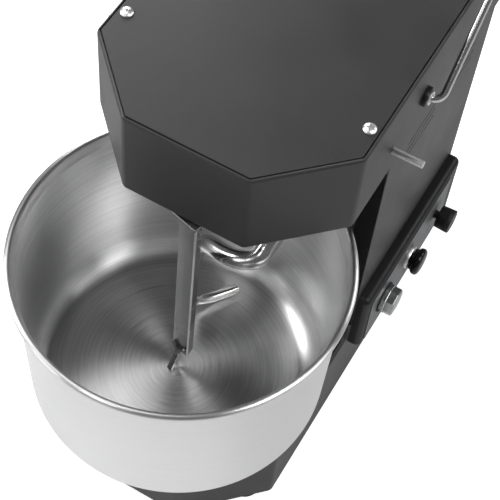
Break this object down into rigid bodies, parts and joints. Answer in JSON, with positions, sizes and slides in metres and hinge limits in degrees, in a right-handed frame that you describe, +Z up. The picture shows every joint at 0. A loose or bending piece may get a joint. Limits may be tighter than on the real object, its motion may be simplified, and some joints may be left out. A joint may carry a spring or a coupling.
{
  "type": "tabletop spiral dough mixer",
  "caption": "Tabletop spiral dough mixer: octagon-fronted steel head over a turning bowl, spiral hook, fixed breaker bar, lift-up bowl guard and side controls.",
  "frame": {"origin": "centre of the machine's overall box in plan, on the worktop, with the guard lifted", "axes": "+Z up, -Y towards the user at the bowl, +X to the side that carries the controls"},
  "size_m": [0.2833, 0.5122, 0.6913],
  "materials": {
    "painted_steel": "fine-texture anthracite powder coat",
    "stainless": "spun, with a circular satin grain",
    "polished_stainless": "mirror polished",
    "zinc_steel": "bright zinc plate",
    "black_plastic": "satin moulded",
    "clear_grey_plastic": "glossy, translucent look",
    "label_foil": "satin printed foil",
    "rubber": "moulded, matt",
    "cast_iron": "painted casting",
    "dark_steel": "machined, oiled"
  },
  "bodies": {
    "housing": {"housing": "painted_steel", "top_cover": "painted_steel", "rear_panel": "painted_steel", "bottom_plate": "painted_steel", "control_box": "painted_steel", "cover_screw_1": "zinc_steel", "cover_screw_2": "zinc_steel", "cover_screw_3": "zinc_steel", "cover_screw_4": "zinc_steel", "rear_screw_1": "zinc_steel", "rear_screw_2": "zinc_steel", "guard_washer_right": "zinc_steel", "guard_washer_left": "zinc_steel", "stop_pin_right": "zinc_steel", "stop_pin_left": "zinc_steel", "stop_ring": "zinc_steel", "foot_1": "rubber", "foot_2": "rubber", "foot_3": "rubber", "foot_4": "rubber", "drive_belt": "rubber", "cable_gland": "black_plastic", "guard_bush_right": "black_plastic", "guard_bush_left": "black_plastic", "start_bezel": "clear_grey_plastic", "control_label": "label_foil", "bowl_bearing": "dark_steel", "hook_bearing": "dark_steel", "layshaft_top_bearing": "dark_steel", "layshaft_bottom_bearing": "dark_steel", "hook_chain": "dark_steel", "bowl_chain": "dark_steel", "breaker_bar": "polished_stainless", "breaker_flange": "polished_stainless", "breaker_finger": "polished_stainless", "motor": "cast_iron"},
    "bowl": {"bowl": "stainless", "bowl_shaft": "dark_steel", "bowl_sprocket": "dark_steel"},
    "hook": {"spiral_hook": "polished_stainless", "hook_sprocket": "dark_steel"},
    "layshaft": {"layshaft": "dark_steel", "layshaft_pulley": "cast_iron", "layshaft_top_sprocket": "dark_steel", "layshaft_bottom_sprocket": "dark_steel"},
    "motor_rotor": {"motor_shaft": "dark_steel", "motor_pulley": "cast_iron"},
    "guard": {"guard_hoop": "polished_stainless", "guard_rim_rod": "polished_stainless", "guard_upright_1": "polished_stainless", "guard_upright_2": "polished_stainless", "guard_upright_3": "polished_stainless", "guard_upright_4": "polished_stainless", "guard_upright_5": "polished_stainless", "guard_cross_bar_1": "polished_stainless", "guard_cross_bar_2": "polished_stainless", "guard_cross_bar_3": "polished_stainless"},
    "speed_knob": {"speed_knob": "black_plastic"},
    "stop_button": {"stop_button": "black_plastic"},
    "start_button": {"start_button": "clear_grey_plastic"}
  },
  "joints": [
    {"name": "bowl_spin", "type": "hinge", "parent": "housing", "child": "bowl", "pos_m": [-0.00175, -0.1161, 0.12], "axis": [0, 0, 1], "continuous": true},
    {"name": "hook_spin", "type": "hinge", "parent": "housing", "child": "hook", "pos_m": [0.03025, -0.0531, 0.37], "axis": [0, 0, 1], "continuous": true},
    {"name": "layshaft_spin", "type": "hinge", "parent": "housing", "child": "layshaft", "pos_m": [-0.05675, 0.0739, 0.23], "axis": [0, 0, 1], "continuous": true},
    {"name": "motor_spin", "type": "hinge", "parent": "housing", "child": "motor_rotor", "pos_m": [0.03325, 0.1319, 0.34], "axis": [0, 0, 1], "continuous": true},
    {"name": "guard_hinge", "type": "hinge", "parent": "housing", "child": "guard", "pos_m": [-0.00175, 0.0529, 0.412], "axis": [1, 0, 0], "range_deg": [0, 135.6]},
    {"name": "speed_knob_turn", "type": "hinge", "parent": "housing", "child": "speed_knob", "pos_m": [0.12345, 0.1521, 0.135], "axis": [1, 0, 0], "range_deg": [-150, 150]},
    {"name": "stop_button_press", "type": "slide", "parent": "housing", "child": "stop_button", "axis": [-1, 0, 0], "range_m": [0, 0.003], "stiffness_N_per_m": 300},
    {"name": "start_button_press", "type": "slide", "parent": "housing", "child": "start_button", "axis": [-1, 0, 0], "range_m": [0, 0.0025], "stiffness_N_per_m": 300}
  ],
  "couplings": [
    {"joint": "layshaft_spin", "follows": "bowl_spin", "ratio": 5},
    {"joint": "hook_spin", "follows": "bowl_spin", "ratio": 4.5},
    {"joint": "motor_spin", "follows": "bowl_spin", "ratio": 11.25}
  ]
}
